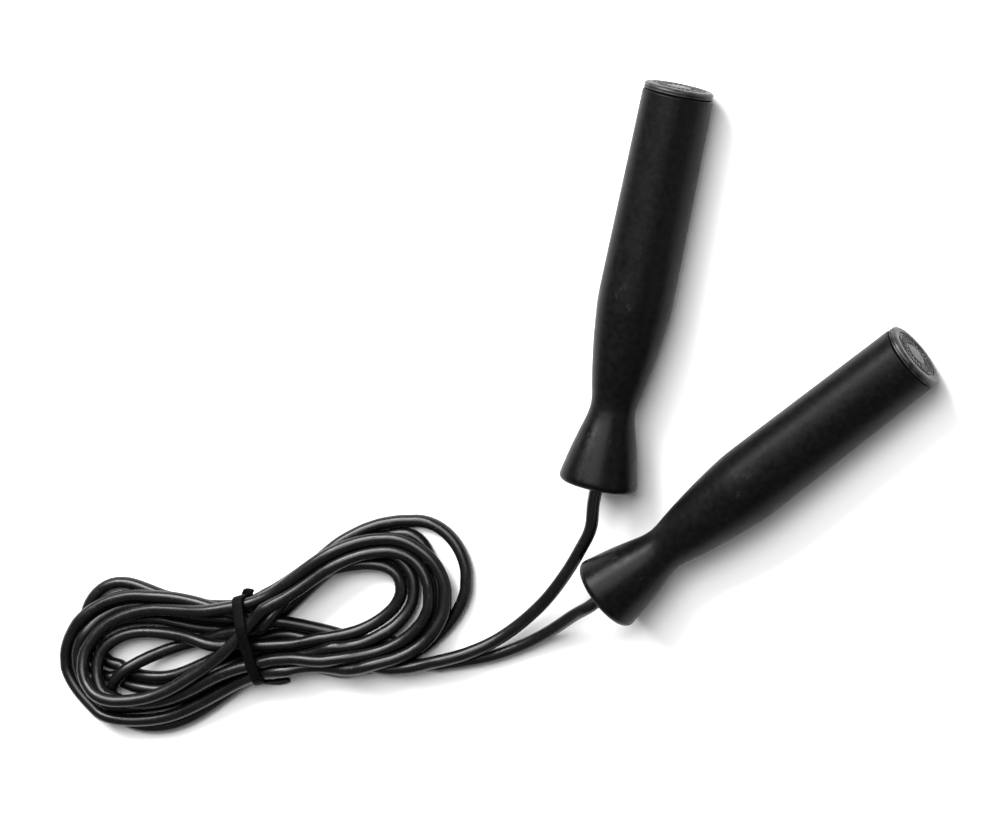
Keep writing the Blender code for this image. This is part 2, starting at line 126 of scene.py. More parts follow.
# Each half turn, in the order the cord runs: which way it goes round, its highest,
# furthest and lowest points in plan, the height of its middle, how far it keeps to
# the bundle after leaving the strap and before coming back to it, and how round its
# first and last quarters are.  EVEN is as round as a circle.  A half turn without a
# highest point runs straight back to the strap from its furthest one.
EVEN = (0.5523, 0.5523)
HALF_TURNS = [
    ("rising", (-57.2, 20.4), (-73.4, 2.6), (-41.7, -17.6), 2.6, (0.42, 0.60), EVEN),
    ("falling", (68.0, 47.6), (88.0, 25.0), (38.8, -8.5), 2.8, (0.42, 0.42), (0.55, 0.50)),
    ("rising", (-48.2, 12.1), (-75.0, -9.6), (-53.4, -28.2), 7.0, (0.42, 0.42), EVEN),
    ("falling", (61.5, 43.0), (75.8, 16.8), (43.2, -7.2), 2.6, (0.30, 0.42), (0.62, 0.55)),
    ("rising", (-40.6, 6.7), (-72.6, -8.2), (-43.0, -22.0), 2.6, (0.42, 0.42), (0.64, 0.64)),
    ("falling", (54.0, 34.0), (66.2, 19.5), (33.0, -3.7), 5.0, (0.20, 0.42), (0.55, 0.48)),
    ("rising", None, (-62.8, -26.5), (-45.0, -36.4), 4.8, (0.50, 0.42), (0.62, 0.62)),
    ("falling", (46.5, 31.6), (62.0, 22.0), (16.2, -2.2), 7.5, (0.24, 0.42), (0.62, 0.48)),
    ("falling", (-43.4, 1.6), (-66.4, -13.0), (-51.2, -27.0), 7.4, (0.42, 0.42), (0.60, 0.60)),
    ("rising", (57.4, 36.6), (74.5, 18.8), (28.7, -7.9), 10.0, (0.42, 0.42), EVEN),
    ("rising", (-34.9, 11.5), (-71.5, -11.1), (-54.9, -25.3), 12.5, (0.42, 0.42), EVEN),
    ("falling", (57.6, 40.8), (80.6, 18.5), (46.4, -8.2), 6.0, (0.42, 0.42), EVEN),
    ("rising", (-47.8, 16.0), (-81.2, -10.9), (-50.5, -33.9), 5.0, (0.42, 0.42), (0.48, 0.47)),
]
NECK_SPAN = 0.84
OPEN_END_BEND = 0.42
HEIGHT_EASE = 6.0

# ---- how the hank settles: shares and counts, with lengths in metres ----
ROUNDS = 260
CALM_PART = 4.0
FLATTENING = 0.5
HOME_PULL = 0.03
HEIGHT_PASSES = 3
FALL = 0.00004
PUSHES = 4
PUSH = 1.4
PUSH_SHARES = (0.75, 0.75, 1.15)
NEIGHBOUR_ROUNDS = 10
NEIGHBOUR_REACH = 1.7
ALONG_APART = 6
CLEAR_WIDTH = 1.015
FLOOR_GAP = 0.00005
STRAP_HOLD = 0.0040

# ---- grips: (station, radius) outside, then (radius, station) inside, in mm ----
GRIP_START = 2.9
GRIP_END = 157.0
GRIP_OUTSIDE = [
    (3.7, 13.65), (20.0, 13.80), (44.0, 14.05), (66.0, 14.30), (78.0, 14.40), (84.0, 14.40),
    (89.0, 14.10), (95.0, 13.50), (101.0, 12.80), (107.0, 11.90), (112.7, 11.00),
    (118.5, 9.90), (121.5, 9.25), (124.5, 8.85), (127.0, 8.85), (130.3, 9.35), (133.2, 10.10),
    (136.0, 10.90), (139.0, 11.70), (142.0, 12.50), (145.0, 13.20), (148.0, 13.85),
    (151.0, 14.50), (153.5, 15.00), (154.6, 15.15),
]
GRIP_INSIDE = [
    (10.2, 155.8), (10.2, 153.3), (11.4, 153.3), (11.4, 145.5), (10.5, 142.0), (8.9, 136.0),
    (6.9, 127.0), (6.9, 124.5), (7.6, 118.3), (9.3, 107.0), (10.7, 95.0), (10.7, 2.9),
]
GRIP_OUTLINE_STEPS = 6
GRIP_SEGMENTS = 120
BUTT_ROUND = 0.8
LIP_OUTER = 12.75
LIP_ROUND = 2.4
MOUTH_RADIUS = 10.2
MOUTH_ROUND = 1.2
GRIP_WALL_STEP = 4.0
SHARP_ANGLE = radians(32.0)

# ---- end caps, in mm from the butt face ----
CAP_EDGE = 13.45
CAP_RIM_ROUND = 1.35
CAP_CENTRE = 2.0
CAP_GROOVE = (9.4, 10.4)
CAP_GROOVE_DEPTH = 0.5
CAP_GROOVE_SLOPE = 0.1
CAP_RING = (4.9, 8.9)
CAP_RING_SET_OFF = (0.5, 0.35)
CAP_RING_STEP = 0.16
CAP_SINK = 0.45
CAP_EDGE_ROUND = 0.25
CAP_RIBS = 24
CAP_RIB_SPAN = (5.3, 8.5)
CAP_RIB_RISE = 0.42
CAP_RIB_SHARE = 0.27
CAP_RIB_SLOPE = 0.12
CAP_RIB_EASE = 0.5
CAP_SEGMENTS = 288
CAP_BACK = [(13.2, 1.5), (13.05, 1.6), (13.05, 1.8), (13.2, 1.9), (13.4, 2.0), (13.45, 2.1),
            (13.45, 2.3), (13.15, 2.6), (8.3, 2.6), (8.3, 15.6), (7.9, 16.6), (6.8, 16.6),
            (6.8, 2.6), (0.0, 2.6)]

# ---- the tie, in mm; its own frame has +X along the hank and +Y across it ----
STRAP_WIDTH = 4.4
STRAP_THICKNESS = 1.2
STRAP_EDGE = 0.4
STRAP_GAP = 0.15
STRAP_FACETS = 36
STRAP_STEP = 0.5
TONGUE_STEPS = 8
TONGUE_ROUND = 5.0
TONGUE_TIP = 0.45
TAIL_SIDEWAYS = (0.0, 0.45, 0.89)
NUB_SIDEWAYS = (0.94, -0.34, 0.0)
TAIL_SET_IN = 0.5
TAIL_ROUTE = [(-1.5, 0.2, 3.0), (2.0, -0.8, 3.0), (5.5, -1.3, 2.9), (9.6, -1.2, 2.8)]
NUB_ROUTE = [(0.2, -1.2, -3.0), (0.9, 0.6, -2.3), (1.9, 1.9, -2.0), (2.9, 2.9, -2.1)]
TIE_FLAT = 0.1

# ---- colours ----
CORD_BLACK = (0.0022, 0.0022, 0.0024)
DUST = (0.10, 0.10, 0.10)
RUBBER_BLACK = (0.0018, 0.0018, 0.0019)
RUBBER_WORN = (0.0042, 0.0042, 0.0042)
SCUFF = (0.07, 0.07, 0.07)
CAP_BLACK = (0.0045, 0.0045, 0.0047)
CAP_DUSTY = (0.030, 0.030, 0.031)
STRAP_BLACK = (0.0012, 0.0012, 0.0012)
STRAP_WORN = (0.0024, 0.0024, 0.0024)
STEEL = (0.58, 0.58, 0.60)
BRASS = (0.62, 0.46, 0.20)
CORE_PLASTIC = (0.020, 0.020, 0.022)
RETAINER_PLASTIC = (0.026, 0.026, 0.028)
CAGE_NYLON = (0.45, 0.43, 0.38)
FLOW_GAIN = 1.3
FLOW_LIFT = 0.004
METAL_DULLING = 0.72
# The stretch of a handle, in metres from its butt, where the rubber turns shinier.
FLARE_POLISH = (0.118, 0.140)

# ---- floor and light ----
FLOOR_WHITE = 0.9
FLOOR_HALF = 3.0
FLOOR_DROP = 0.0002
SKY_STRENGTH = 0.23
# Name, direction in the camera's right, up and back, distance, size in metres, watts.
PANELS = [
    ("key", (-0.62, 0.62, 0.58), 2.0, (1.3, 0.8), 72.0),
    ("top", (-0.30, 0.32, 1.0), 2.2, (1.7, 1.3), 50.0),
    ("fill", (0.9, -0.3, 0.9), 2.6, (1.8, 1.4), 5.0),
]


def handle_matrix(tag):
    """World matrix of a handle: origin at its butt face, +Z towards its mouth."""
    mount = next(m for m in frame["record"]["mounts"] if m["name"] == "butt_face_" + tag)
    axis = -Vector(mount["axis"]).normalized()
    across = Vector((-axis.y, axis.x, 0.0)).normalized()
    upright = axis.cross(across)
    matrix = Matrix((across, upright, axis)).transposed().to_4x4()
    matrix.translation = Vector(mount["pos_m"])
    return matrix


def add_camera():
    """A long lens, high above the rope and rolled a little."""
    foot = Vector((cos(CAMERA_HEADING), sin(CAMERA_HEADING), 0.0))
    side = Vector((-foot.y, foot.x, 0.0))
    back = foot * cos(CAMERA_ELEVATION) + Vector((0, 0, sin(CAMERA_ELEVATION)))
    down = foot * sin(CAMERA_ELEVATION) - Vector((0, 0, cos(CAMERA_ELEVATION)))
    right = down * cos(CAMERA_HEADING) - side * sin(CAMERA_HEADING)
    up = down * sin(CAMERA_HEADING) + side * cos(CAMERA_HEADING)
    data = bpy.data.cameras.new("camera")
    data.lens = CAMERA_LENS
    data.sensor_width = SENSOR_WIDTH
    data.clip_end = CAMERA_REACH
    camera = bpy.data.objects.new("camera", data)
    bpy.context.collection.objects.link(camera)
    matrix = Matrix((right, up, back)).transposed().to_4x4()
    matrix.translation = CAMERA_TARGET + back * CAMERA_DISTANCE
    camera.matrix_world = matrix
    bpy.context.scene.camera = camera


# ------------------------------------------------------------------ the cord


def smooth_path(points, steps=24):
    """Catmull-Rom curve through the points, as many short steps."""
    count = len(points)
    path = []
    for i in range(count - 1):
        p1, p2 = points[i], points[i + 1]
        p0 = points[i - 1] if i > 0 else p1 * 2.0 - p2
        p3 = points[i + 2] if i + 2 < count else p2 * 2.0 - p1
        for k in range(steps):
            t = k / steps
            path.append(0.5 * (
                2.0 * p1 + (p2 - p0) * t + (2.0 * p0 - 5.0 * p1 + 4.0 * p2 - p3) * t * t
                + (3.0 * p1 - p0 - 3.0 * p2 + p3) * t ** 3))
    path.append(points[-1].copy())
    return path


def pass_point(number):
    """Place and heading of one pass through the strap, in mm."""
    across, layer, heading = PASSES[number]
    height = STRAP_TOP_OF_FLOOR + CORD_RADIUS / MM + layer * LAYER_HEIGHT
    place = Vector((-across * sin(TIE_TURN), across * cos(TIE_TURN), height))
    direction = Vector((cos(radians(heading)), sin(radians(heading)), 0.0))
    return place, direction


def bezier(p0, h0, h1, p1, steps=12):
    """Points of a cubic curve from p0 up to, but without, p1."""
    points = []
    for k in range(steps):
        t = k / steps
        s = 1.0 - t
        points.append(s ** 3 * p0 + 3 * s * s * t * h0 + 3 * s * t * t * h1 + t ** 3 * p1)
    return points


def strap_to_crown(start, heading, crown, outward, neck):
    """Out of the strap along the bundle, up or down to where the cord runs level."""
    reach = abs(crown.x - start.x)
    return bezier(start, start + heading * reach * neck,
                  crown - outward * reach * (NECK_SPAN - neck), crown)


def crown_to_end(crown, end, outward, quarter):
    """A quarter turn from a crown to the far end."""
    return bezier(crown, crown + outward * abs(end.x - crown.x) * quarter,
                  end + Vector((0.0, crown.y - end.y, 0.0)) * quarter, end)


def half_turn(number):
    """Plan of one half turn, in mm: strap, crown, far end, crown, strap."""
    way, top, far, low, peak, necks, rounds = HALF_TURNS[number]
    side = 1.0 if far[0] > 0 else -1.0
    outward = Vector((side, 0.0, 0.0))
    end = Vector((*far, 0.0))
    start_place, start_heading = pass_point(number)
    stop_place, stop_heading = pass_point(number + 1)
    start = Vector((start_place.x, start_place.y, 0.0))
    stop = Vector((stop_place.x, stop_place.y, 0.0))
    crowns = [None if top is None else Vector((*top, 0.0)), Vector((*low, 0.0))]
    first, last = reversed(crowns) if way == "rising" else crowns
    points = strap_to_crown(start, start_heading * side, first, outward, necks[0])
    points += crown_to_end(first, end, outward, rounds[0])
    if last is None:
        reach = 0.5 * (stop - end).length
        back = Vector((0.0, 1.0 if way == "rising" else -1.0, 0.0))
        points += bezier(end, end + back * OPEN_END_BEND * reach,
                         stop + stop_heading * side * reach, stop)
    else:
        points += crown_to_end(last, end, outward, rounds[1])[::-1]
        points += strap_to_crown(stop, stop_heading * side, last, outward, necks[1])[::-1]
    count = len(points)
    for i, point in enumerate(points):
        part = i / count
        held = start_place.z * (1.0 - part) + stop_place.z * part
        blend = min(1.0, HEIGHT_EASE * min(part, 1.0 - part))
        point.z = held + (peak - held) * blend
    return points


def lead_points(tag):
    """Free cord from the crimp to the hank's strap, in world metres."""
    matrix = handle_matrix(tag)
    stations = STRAIGHT_STATIONS + (HANDLE_LENGTH, HANDLE_LENGTH + STRAIGHT_PAST_MOUTH)
    route = [matrix @ Vector((0.0, 0.0, station)) for station in stations]
    route += [Vector(point) for point in LEAD_ROUTES[tag]]
    pinned = len(route)
    route += [TIE_CENTRE + Vector(point) * MM for point in LEAD_ENDS[tag]]
    return route, pinned


def resample(path, spacing):
    """Points evenly spaced along a path given as an array."""
    steps = np.linalg.norm(np.diff(path, axis=0), axis=1)
    reach = np.concatenate([[0.0], np.cumsum(steps)])
    count = int(round(reach[-1] / spacing))
    target = np.linspace(0.0, reach[-1], count + 1)
    return np.stack([np.interp(target, reach, path[:, k]) for k in range(3)], axis=1)


def planned_cord():
    """The whole cord before it settles, and the first and last point that are free."""
    route_a, pinned_a = lead_points("a")
    route_b, pinned_b = lead_points("b")
    first = TIE_CENTRE + pass_point(0)[0] * MM
    last = TIE_CENTRE + pass_point(len(PASSES) - 1)[0] * MM
    lead_a = smooth_path(route_a + [first])
    lead_b = smooth_path(route_b + [last])
    wound = []
    for number in range(len(HALF_TURNS)):
        wound += [TIE_CENTRE + point * MM for point in half_turn(number)]
    whole = lead_a[:-1] + wound + lead_b[::-1]
    path = resample(np.array([tuple(point) for point in whole]), CORD_STEP)
    entry_a = np.array(route_a[pinned_a - 1])
    entry_b = np.array(route_b[pinned_b - 1])
    head = path[:len(path) // 4]
    tail_from = 3 * len(path) // 4
    start = int(np.argmin(np.linalg.norm(head - entry_a, axis=1)))
    stop = tail_from + int(np.argmin(np.linalg.norm(path[tail_from:] - entry_b, axis=1)))
    return path, start, stop


def near_pairs(path, reach):
    """Index pairs of points near each other but well apart along the cord."""
    first, second = np.triu_indices(len(path), k=ALONG_APART)
    close = np.ones(len(first), bool)
    for k in range(3):
        close &= np.abs(path[first, k] - path[second, k]) < reach
    return first[close], second[close]


def pushed_apart(path, first, second, width):
    """How far each point moves so that the pairs that overlap part, mostly upwards."""
    gap = path[first] - path[second]
    length = np.linalg.norm(gap, axis=1)
    hit = length < width
    push = gap[hit] * ((width - length[hit]) / np.maximum(length[hit], 1e-6))[:, None]
    push *= np.array(PUSH_SHARES)
    total = np.zeros_like(path)
    tally = np.zeros(len(path))
    np.add.at(total, first[hit], push * 0.5)
    np.add.at(total, second[hit], -push * 0.5)
    np.add.at(tally, first[hit], 1.0)
    np.add.at(tally, second[hit], 1.0)
    return total / np.maximum(tally, 1.0)[:, None]


def smoothed(path, home, ease):
    """The path with its moves from home evened out, and let down a little."""
    shift = path - home
    middle = 0.5 * (shift[:-2] + shift[2:])
    shift[1:-1, :2] += FLATTENING * ease * (middle[:, :2] - shift[1:-1, :2])
    shift[:, :2] *= 1.0 - HOME_PULL * ease
    rise = path[:, 2].copy()
    for _ in range(HEIGHT_PASSES):
        rise[1:-1] += FLATTENING * ease * (0.5 * (rise[:-2] + rise[2:]) - rise[1:-1])
    moved = home + shift
    moved[:, 2] = rise - FALL * ease
    return moved


def hold_in_strap(path, free):
    """Keep the free points near the strap inside its opening, and all off the floor."""
    along = np.array([cos(TIE_TURN), sin(TIE_TURN)])
    across = np.array([-sin(TIE_TURN), cos(TIE_TURN)])
    side_room = 0.5 * TIE_OPENING[0] * MM - CORD_RADIUS
    lowest = STRAP_TOP_OF_FLOOR * MM + CORD_RADIUS
    highest = STRAP_TOP_OF_FLOOR * MM + TIE_OPENING[1] * MM - CORD_RADIUS
    offset = path[:, :2] - np.array(TIE_CENTRE)[:2]
    band = free & (np.abs(offset @ along) < STRAP_HOLD)
    over = offset @ across
    inside = np.clip(over, -side_room, side_room)
    path[band, :2] += ((inside - over)[:, None] * across)[band]
    path[band, 2] = np.clip(path[band, 2], lowest, highest)
    floor = CORD_RADIUS + FLOOR_GAP
    path[:, 2] = np.where(free, np.maximum(path[:, 2], floor), path[:, 2])


def settle(path, start, stop):
    """Lay the wound part down: no overlaps, gentle humps, held in by the strap."""
    home = path.copy()
    width = 2.0 * CORD_RADIUS * CLEAR_WIDTH
    free = np.zeros(len(path), bool)
    free[start:stop] = True
    for number in range(ROUNDS):
        if number % NEIGHBOUR_ROUNDS == 0:
            first, second = near_pairs(path, NEIGHBOUR_REACH * width)
        # The smoothing fades out over the last rounds, so that the pushes end it.
        ease = min(1.0, CALM_PART * (1.0 - number / ROUNDS))
        moved = smoothed(path, home, ease)
        moved[~free] = home[~free]
        path = moved
        for _ in range(PUSHES):
            path[free] += PUSH * pushed_apart(path, first, second, width)[free]
            hold_in_strap(path, free)
    return path


def worst_overlap(path):
    """Deepest overlap of the cord with itself, in mm, for the log."""
    first, second = near_pairs(path, 2.0 * CORD_RADIUS * NEIGHBOUR_REACH)
    length = np.linalg.norm(path[first] - path[second], axis=1)
    return (2.0 * CORD_RADIUS - length.min()) / MM


def lay_cord():
    """The settled cord as an array of points, and its length."""
    path, start, stop = planned_cord()
    path = settle(path, start, stop)
    length = float(np.linalg.norm(np.diff(path, axis=0), axis=1).sum())
    print("cord length %.3f m, deepest overlap %.2f mm, top %.1f mm" % (
        length, worst_overlap(path), path[:, 2].max() / MM))
    return path, length


def add_cord(path, material):
    """One round cord along the path, from crimp to crimp."""
    curve = bpy.data.curves.new("cord", "CURVE")
    curve.dimensions = "3D"
    curve.bevel_depth = CORD_RADIUS
    curve.bevel_resolution = CORD_ROUNDNESS
    curve.use_fill_caps = True
    spline = curve.splines.new("POLY")
    spline.points.add(len(path) - 1)
    for point, place in zip(spline.points, path):
        point.co = (*place, 1.0)
    curve.materials.append(material)
    cord = bpy.data.objects.new("cord", curve)
    bpy.context.collection.objects.link(cord)
    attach(cord, "rope")
    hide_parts("rope_lead_a", "rope_lead_b", "rope_hank")
    mouth = handle_matrix("a") @ Vector((0.0, 0.0, HANDLE_LENGTH))


# ------------------------------------------------------------------ grips and caps


def finish_mesh(name, tool, material, body, slot, *nodes):
    """Turn a bmesh into a smooth-shaded piece that rides on a body."""
    bmesh.ops.recalc_face_normals(tool, faces=tool.faces)
    mesh = bpy.data.meshes.new(name)
    tool.to_mesh(mesh)
    tool.free()
    mesh.shade_smooth()
    mesh.set_sharp_from_angle(angle=SHARP_ANGLE)
    mesh.materials.append(material)
    piece = bpy.data.objects.new(name, mesh)
    bpy.context.collection.objects.link(piece)
    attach(piece, body)
    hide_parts(*nodes)
    return piece


def turned(outline, segments, station=None):
    """A closed solid turned about Z from (radius, station) points, in mm.

    station(radius, height, angle) may raise or lower a point, for embossed marks.
    """
    tool = bmesh.new()
    rings = []
    for radius, height in outline:
        if radius == 0.0:
            rings.append([tool.verts.new((0.0, 0.0, height * MM))] * segments)
            continue
        ring = []
        for k in range(segments):
            angle = 2.0 * pi * k / segments
            level = station(radius, height, angle) if station else height
            ring.append(tool.verts.new(
                (radius * cos(angle) * MM, radius * sin(angle) * MM, level * MM)))
        rings.append(ring)
    closed = outline[0][0] > 0.0
    count = len(rings)
    for i in range(count if closed else count - 1):
        low, high = rings[i], rings[(i + 1) % count]
        for k in range(segments):
            j = (k + 1) % segments
            corners = [low[k], low[j], high[j], high[k]]
            face = [v for n, v in enumerate(corners) if v not in corners[:n]]
            tool.faces.new(face)
    return tool


def spaced_outline(points, spacing):
    """The outline with points added on its longer stretches, in mm."""
    dense = []
    for (r0, z0), (r1, z1) in zip(points, points[1:]):
        steps = max(1, int(round(sqrt((r1 - r0) ** 2 + (z1 - z0) ** 2) / spacing)))
        for k in range(steps):
            t = k / steps
            dense.append((r0 + (r1 - r0) * t, z0 + (z1 - z0) * t))
    dense.append(points[-1])
    return dense


def quarter_round(centre, radius, start, stop, steps=8):
    """Points of an arc in (radius, station), in mm and degrees."""
    points = []
    for k in range(steps + 1):
        angle = radians(start + (stop - start) * k / steps)
        points.append((centre[0] + radius * cos(angle), centre[1] + radius * sin(angle)))
    return points


def grip_outline():
    """Rubber sleeve: outside from butt to mouth, then the wall round the core."""
    smooth = smooth_path([Vector((r, z, 0.0)) for z, r in GRIP_OUTSIDE], GRIP_OUTLINE_STEPS)
    outside = quarter_round((GRIP_OUTSIDE[0][1] - BUTT_ROUND, GRIP_START + BUTT_ROUND),
                            BUTT_ROUND, -90.0, 0.0)
    outside += [(point.x, point.y) for point in smooth]
    mouth = quarter_round((LIP_OUTER, GRIP_END - LIP_ROUND), LIP_ROUND, 0.0, 90.0)
    mouth += quarter_round((MOUTH_RADIUS + MOUTH_ROUND, GRIP_END - MOUTH_ROUND), MOUTH_ROUND,
                           90.0, 180.0)
    return outside + mouth + spaced_outline(GRIP_INSIDE, GRIP_WALL_STEP)


def add_grip(tag, material):
    """The rubber sleeve of one handle."""
    tool = turned(grip_outline(), GRIP_SEGMENTS)
    grip = finish_mesh("rubber_grip_" + tag, tool, material, "handle_" + tag, "grip_rubber",
                       "grip_" + tag)
    grip.matrix_world = handle_matrix(tag)


def rib_height(radius, height, angle):
    """Short radial ribs that stand in the sunk ring of the cap's face."""
    if height > CAP_SINK + 0.01 or not CAP_RING[0] < radius < CAP_RING[1]:
        return height
    phase = (angle * CAP_RIBS / (2.0 * pi)) % 1.0
    across = min(1.0, max(0.0, (CAP_RIB_SHARE - abs(phase - 0.5)) / CAP_RIB_SLOPE))
    inner = min(1.0, max(0.0, (radius - CAP_RIB_SPAN[0]) / CAP_RIB_EASE))
    outer = min(1.0, max(0.0, (CAP_RIB_SPAN[1] - radius) / CAP_RIB_EASE))
    rise = across * min(inner, outer)
    return height - CAP_RIB_RISE * rise * rise * (3.0 - 2.0 * rise)


def cap_outline():
    """End cap: face with a sunk ring and a groove, rounded rim, band and spigot."""
    inner, outer = CAP_RING
    left, right = CAP_GROOVE
    deep, slope, curve = CAP_GROOVE_DEPTH, CAP_GROOVE_SLOPE, CAP_EDGE_ROUND
    face = [(0.0, 0.0), (CAP_CENTRE, 0.0)]
    face += quarter_round((inner - CAP_RING_SET_OFF[0], curve), curve, -90.0, 0.0, 4)
    face += spaced_outline([(inner, CAP_SINK), (outer, CAP_SINK)], CAP_RING_STEP)
    face += quarter_round((outer + CAP_RING_SET_OFF[1], curve), curve, 180.0, 270.0, 4)
    face += [(left - slope, 0.0), (left, slope), (left + slope, deep),
             (right - slope, deep), (right, 1.5 * slope), (right + 2.5 * slope, 0.0)]
    rim = quarter_round((CAP_EDGE - CAP_RIM_ROUND, CAP_RIM_ROUND), CAP_RIM_ROUND, -90.0, 0.0, 12)
    return face + rim + CAP_BACK


def add_cap(tag, material):
    """The plug in the butt of one handle."""
    tool = turned(cap_outline(), CAP_SEGMENTS, rib_height)
    cap = finish_mesh("butt_cap_" + tag, tool, material, "handle_" + tag, "cap_plastic",
                      "end_cap_" + tag)
    cap.matrix_world = handle_matrix(tag)


# ------------------------------------------------------------------ the tie


def convex_outline(points):
    """Convex hull of plane points, anticlockwise."""
    points = sorted(set(points))
    halves = []
    for order in (points, points[::-1]):
        chain = []
        for p in order:
            while len(chain) > 1:
                (ax, ay), (bx, by) = chain[-2], chain[-1]
                if (bx - ax) * (p[1] - ay) - (by - ay) * (p[0] - ax) > 0.0:
                    break
                chain.pop()
            chain.append(p)
        halves += chain[:-1]
    return halves


def strap_loop(path):
    """The line that a strap pulled tight round the strands takes, in its own plane."""
    offset = path - np.array(TIE_CENTRE)
    along = offset[:, 0] * cos(TIE_TURN) + offset[:, 1] * sin(TIE_TURN)
    across = offset[:, 1] * cos(TIE_TURN) - offset[:, 0] * sin(TIE_TURN)
    inside = np.abs(along) < 0.5 * STRAP_WIDTH * MM
    reach = CORD_RADIUS + STRAP_GAP * MM
    ring = []
    for y, z in zip(across[inside], path[inside, 2]):
        for k in range(STRAP_FACETS):
            angle = 2.0 * pi * k / STRAP_FACETS
            ring.append((float(y + reach * cos(angle)), float(z + reach * sin(angle))))
    hull = convex_outline(ring)
    loop = np.array([(0.0, y, z) for y, z in hull + hull[:1]])
    return resample(loop, STRAP_STEP * MM)[:-1]


def strap_section():
    """Rounded rectangle (width, thickness) of the strap, in mm, thickness from 0."""
    half = 0.5 * STRAP_WIDTH - STRAP_EDGE
    high = STRAP_THICKNESS - STRAP_EDGE
    corners = [(half, high, 0.0), (-half, high, 90.0), (-half, STRAP_EDGE, 180.0),
               (half, STRAP_EDGE, 270.0)]
    section = []
    for x, y, start in corners:
        section += quarter_round((x, y), STRAP_EDGE, start, start + 90.0, 3)
    return section


def sweep(tool, stations, closed):
    """Sweep the strap's section; a station is (place, sideways, outward, scale)."""
    rings = []
    for place, sideways, outward, scale in stations:
        rings.append([tool.verts.new(place + sideways * (w * scale * MM) + outward * (t * MM))
                      for w, t in strap_section()])
    size = len(rings[0])
    for i in range(len(rings) if closed else len(rings) - 1):
        low, high = rings[i], rings[(i + 1) % len(rings)]
        for k in range(size):
            j = (k + 1) % size
            tool.faces.new((low[k], low[j], high[j], high[k]))
    if not closed:
        tool.faces.new(rings[0][::-1])
        tool.faces.new(rings[-1])


def tongue(tool, route, sideways):
    """A loose end of the strap along a short route, in the tie's frame and mm."""
    path = smooth_path([Vector(point) * MM for point in route], TONGUE_STEPS)
    stations = []
    for i, place in enumerate(path):
        ahead = path[min(i + 1, len(path) - 1)] - path[max(i - 1, 0)]
        outward = ahead.cross(sideways).normalized()
        left = 1.0 - i / (len(path) - 1)
        taper = sqrt(min(1.0, left * TONGUE_ROUND))
        scale = TONGUE_TIP + (1.0 - TONGUE_TIP) * taper
        middle = place - outward * (0.5 * STRAP_THICKNESS * MM)
        stations.append((middle, sideways, outward, scale))
    sweep(tool, stations, False)


def add_tie(path, material):
    """The strap round the waist of the hank, with its folded top and its loose tail."""
    loop = strap_loop(path)
    count = len(loop)
    stations = []
    for i in range(count):
        ahead = loop[(i + 2) % count] - loop[i - 2]
        outward = Vector((0.0, ahead[2], -ahead[1])).normalized()
        stations.append((Vector(loop[i]), Vector((1.0, 0.0, 0.0)), outward, 1.0))
    tool = bmesh.new()
    sweep(tool, stations, True)
    low = min(loop[:, 1]) / MM
    high = max(loop[:, 1]) / MM
    crest = float(np.mean(loop[loop[:, 1] > (high - TIE_FLAT) * MM, 2])) / MM
    tail = [(u, low - TAIL_SET_IN + v, z) for u, v, z in TAIL_ROUTE]
    tongue(tool, tail, Vector(TAIL_SIDEWAYS).normalized())
    nub = [(u, high + v, crest + z) for u, v, z in NUB_ROUTE]
    tongue(tool, nub, Vector(NUB_SIDEWAYS).normalized())
    tie = finish_mesh("hank_tie", tool, material, "rope", "strap_vinyl", "tie_strap")
    matrix = Matrix.Rotation(TIE_TURN, 4, "Z")
    matrix.translation = TIE_CENTRE
    tie.matrix_world = matrix
    return tie


# ------------------------------------------------------------------ materials


def new_material(name, colour, roughness, specular=0.5, metallic=0.0):
    """A Principled material with plain values, before any texture."""
    material = bpy.data.materials.new(name)
    material.use_nodes = True
    shader = material.node_tree.nodes["Principled BSDF"]
    shader.inputs["Base Color"].default_value = (*colour, 1.0)
    shader.inputs["Roughness"].default_value = roughness
    shader.inputs["Specular IOR Level"].default_value = specular
    shader.inputs["Metallic"].default_value = metallic
    return material


def noise(material, size, detail=3.0, stretch=(1.0, 1.0, 1.0)):
    """Noise in the piece's own metres; size is the width of its blotches."""
    tree = material.node_tree
    place = tree.nodes.new("ShaderNodeTexCoord")
    mapping = tree.nodes.new("ShaderNodeMapping")
    mapping.inputs["Scale"].default_value = stretch
    texture = tree.nodes.new("ShaderNodeTexNoise")
    texture.inputs["Scale"].default_value = 1.0 / size
    texture.inputs["Detail"].default_value = detail
    tree.links.new(place.outputs["Object"], mapping.inputs["Vector"])
    tree.links.new(mapping.outputs["Vector"], texture.inputs["Vector"])
    return texture.outputs["Fac"]


def spread(material, source, low, high, start=0.3, stop=0.7):
    """Map a factor's span to another span of values."""
    tree = material.node_tree
    node = tree.nodes.new("ShaderNodeMapRange")
    node.inputs["From Min"].default_value = start
    node.inputs["From Max"].default_value = stop
    node.inputs["To Min"].default_value = low
    node.inputs["To Max"].default_value = high
    tree.links.new(source, node.inputs["Value"])
    return node.outputs["Result"]


def along_handle(material):
    """Distance along a handle, from its butt, in metres."""
    tree = material.node_tree
    place = tree.nodes.new("ShaderNodeTexCoord")
    split = tree.nodes.new("ShaderNodeSeparateXYZ")
    tree.links.new(place.outputs["Object"], split.inputs["Vector"])
    return split.outputs["Z"]


def maths(material, operation, first, second):
    """One sum or product; each term is a number or a socket."""
    tree = material.node_tree
    node = tree.nodes.new("ShaderNodeMath")
    node.operation = operation
    for socket, value in zip(node.inputs, (first, second)):
        if isinstance(value, float):
            socket.default_value = value
        else:
            tree.links.new(value, socket)
    return node.outputs["Value"]


